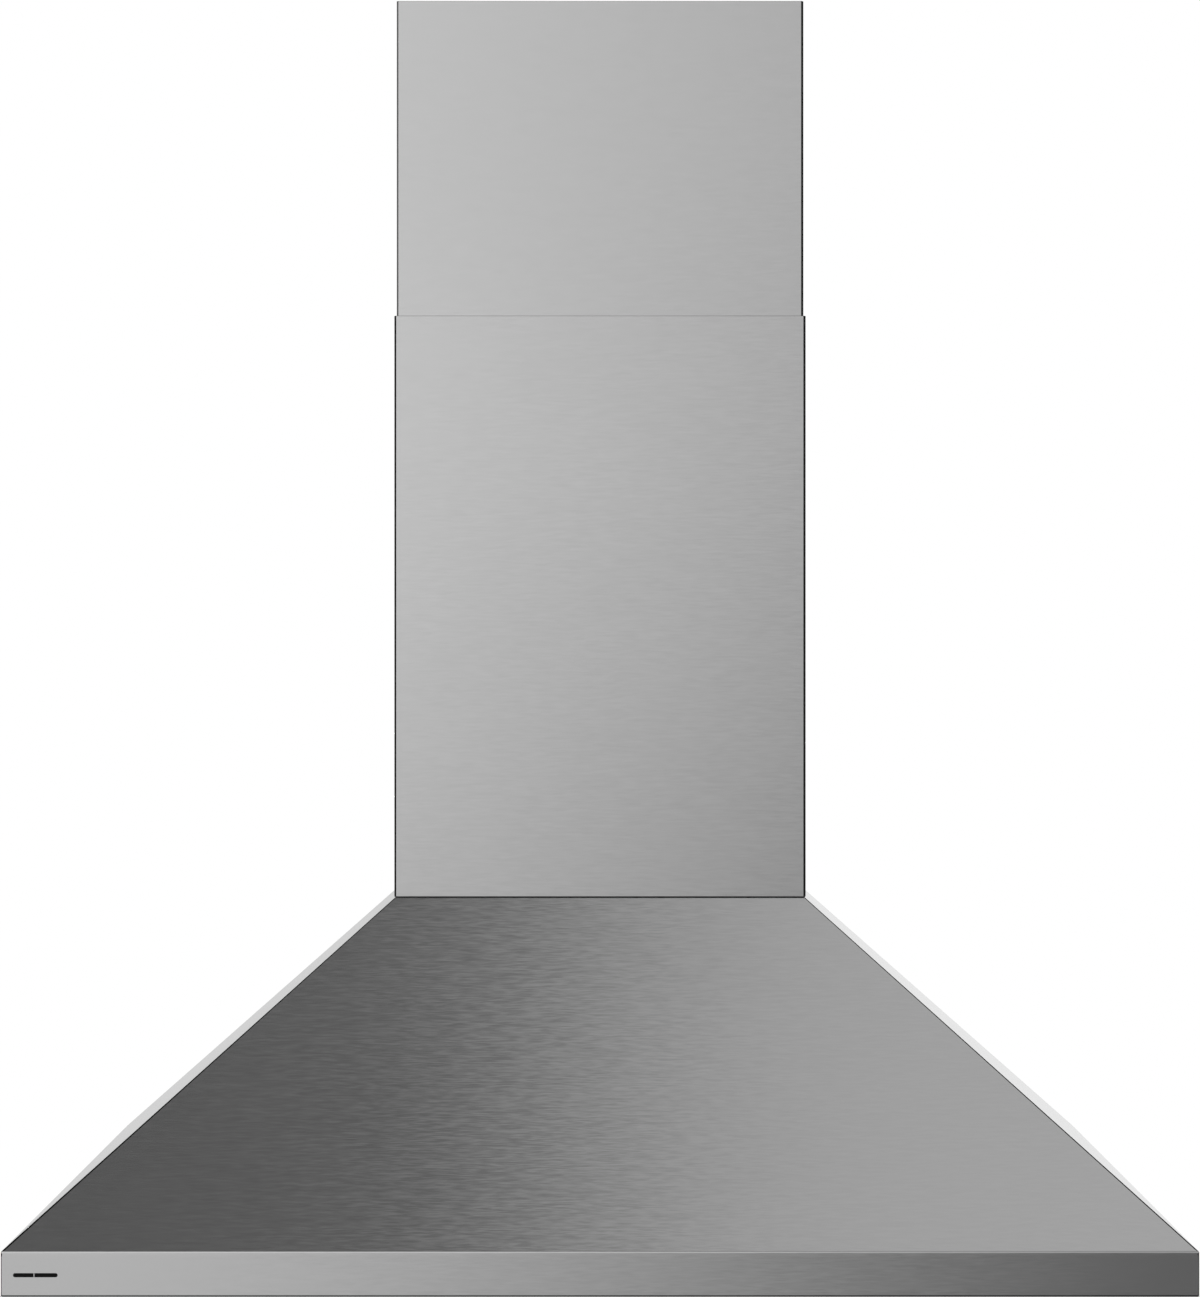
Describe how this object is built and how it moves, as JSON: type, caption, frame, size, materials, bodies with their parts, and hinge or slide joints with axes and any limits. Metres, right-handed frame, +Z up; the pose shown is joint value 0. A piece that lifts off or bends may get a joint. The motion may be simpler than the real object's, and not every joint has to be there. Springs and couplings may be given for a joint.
{
  "type": "wall mount range hood",
  "caption": "Wall mounted pyramid range hood with a sliding two-part chimney, baffle filters, blower and duct collar.",
  "frame": {"origin": "middle of the rim's lower edge at the back, on the wall", "axes": "+X to the right seen from the front, +Y into the wall, +Z up"},
  "size_m": [0.9, 0.5, 1.026],
  "materials": {
    "brushed_steel": "horizontally brushed stainless steel",
    "galvanised_steel": "zinc-coated sheet, matt",
    "filter_steel": "satin stainless steel",
    "screw_steel": "bright zinc-plated",
    "aluminium_cast": "cast, matt",
    "black_plastic": "fine moulded grain",
    "grey_plastic": "fine moulded grain",
    "white_plastic": "fine moulded grain",
    "window_black": "smooth, dark",
    "lamp_glass": "frosted",
    "board_green": "solder-resist green",
    "rubber": "matt"
  },
  "bodies": {
    "hood": {"canopy_front_panel": "brushed_steel", "canopy_left_panel": "brushed_steel", "canopy_right_panel": "brushed_steel", "canopy_back_panel": "galvanised_steel", "underside_liner": "brushed_steel", "top_frame": "galvanised_steel", "lower_chimney_cover": "brushed_steel", "cover_screws": "screw_steel", "window_strip": "window_black", "window_housing": "black_plastic", "lamp_bezels": "screw_steel", "lamp_lenses": "lamp_glass", "lamp_bodies": "aluminium_cast", "control_fascia": "black_plastic", "control_box": "grey_plastic", "control_board": "board_green", "lamp_driver": "white_plastic", "lamp_leads": "black_plastic", "control_lead": "black_plastic", "junction_box": "grey_plastic", "junction_lid": "grey_plastic", "terminal_block": "white_plastic", "cable_gland": "black_plastic", "lead_grommets": "rubber", "motor_lead": "black_plastic", "capacitor": "white_plastic", "capacitor_clip": "galvanised_steel", "scroll_wall": "galvanised_steel", "scroll_left_side": "galvanised_steel", "scroll_right_side": "galvanised_steel", "motor": "aluminium_cast", "motor_mount": "galvanised_steel", "blower_brackets": "galvanised_steel", "rubber_mounts": "rubber", "blower_screws": "screw_steel", "outlet_collar": "black_plastic", "damper_pin": "screw_steel"},
    "upper_chimney": {"upper_chimney_cover": "brushed_steel", "upper_wall_bracket": "galvanised_steel", "upper_screws": "screw_steel"},
    "impeller_wheel": {"impeller": "grey_plastic", "motor_shaft": "screw_steel"},
    "damper_front": {"damper_flap_front": "grey_plastic"},
    "damper_back": {"damper_flap_back": "grey_plastic"},
    "filter_left": {"filter_left_frame": "filter_steel", "filter_left_baffles": "filter_steel"},
    "latch_left": {"filter_left_latch": "grey_plastic"},
    "filter_centre": {"filter_centre_frame": "filter_steel", "filter_centre_baffles": "filter_steel"},
    "latch_centre": {"filter_centre_latch": "grey_plastic"},
    "filter_right": {"filter_right_frame": "filter_steel", "filter_right_baffles": "filter_steel"},
    "latch_right": {"filter_right_latch": "grey_plastic"},
    "button_1": {"button_1": "black_plastic"},
    "button_2": {"button_2": "black_plastic"},
    "button_3": {"button_3": "black_plastic"},
    "button_4": {"button_4": "black_plastic"},
    "button_5": {"button_5": "black_plastic"}
  },
  "joints": [
    {"name": "upper_chimney_slide", "type": "slide", "parent": "hood", "child": "upper_chimney", "axis": [0, 0, 1], "range_m": [-0.235, 0.15]},
    {"name": "impeller_spin", "type": "hinge", "parent": "hood", "child": "impeller_wheel", "pos_m": [0, -0.2105, 0.165], "axis": [1, 0, 0], "continuous": true},
    {"name": "damper_front_hinge", "type": "hinge", "parent": "hood", "child": "damper_front", "pos_m": [0, -0.15, 0.318], "axis": [-1, 0, 0], "range_deg": [0, 75]},
    {"name": "damper_back_hinge", "type": "hinge", "parent": "hood", "child": "damper_back", "pos_m": [0, -0.15, 0.318], "axis": [1, 0, 0], "range_deg": [0, 75]},
    {"name": "filter_left_hinge", "type": "hinge", "parent": "hood", "child": "filter_left", "pos_m": [-0.2695, -0.0565, 0.0101], "axis": [1, 0, 0], "range_deg": [0, 75]},
    {"name": "latch_left_slide", "type": "slide", "parent": "filter_left", "child": "latch_left", "axis": [0, 1, 0], "range_m": [0, 0.007], "stiffness_N_per_m": 400, "springref_m": -0.004},
    {"name": "filter_centre_hinge", "type": "hinge", "parent": "hood", "child": "filter_centre", "pos_m": [0, -0.0565, 0.0101], "axis": [1, 0, 0], "range_deg": [0, 75]},
    {"name": "latch_centre_slide", "type": "slide", "parent": "filter_centre", "child": "latch_centre", "axis": [0, 1, 0], "range_m": [0, 0.007], "stiffness_N_per_m": 400, "springref_m": -0.004},
    {"name": "filter_right_hinge", "type": "hinge", "parent": "hood", "child": "filter_right", "pos_m": [0.2695, -0.0565, 0.0101], "axis": [1, 0, 0], "range_deg": [0, 75]},
    {"name": "latch_right_slide", "type": "slide", "parent": "filter_right", "child": "latch_right", "axis": [0, 1, 0], "range_m": [0, 0.007], "stiffness_N_per_m": 400, "springref_m": -0.004},
    {"name": "button_1_press", "type": "slide", "parent": "hood", "child": "button_1", "axis": [0, 0, 1], "range_m": [0, 0.0015], "stiffness_N_per_m": 600, "springref_m": -0.001},
    {"name": "button_2_press", "type": "slide", "parent": "hood", "child": "button_2", "axis": [0, 0, 1], "range_m": [0, 0.0015], "stiffness_N_per_m": 600, "springref_m": -0.001},
    {"name": "button_3_press", "type": "slide", "parent": "hood", "child": "button_3", "axis": [0, 0, 1], "range_m": [0, 0.0015], "stiffness_N_per_m": 600, "springref_m": -0.001},
    {"name": "button_4_press", "type": "slide", "parent": "hood", "child": "button_4", "axis": [0, 0, 1], "range_m": [0, 0.0015], "stiffness_N_per_m": 600, "springref_m": -0.001},
    {"name": "button_5_press", "type": "slide", "parent": "hood", "child": "button_5", "axis": [0, 0, 1], "range_m": [0, 0.0015], "stiffness_N_per_m": 600, "springref_m": -0.001}
  ]
}
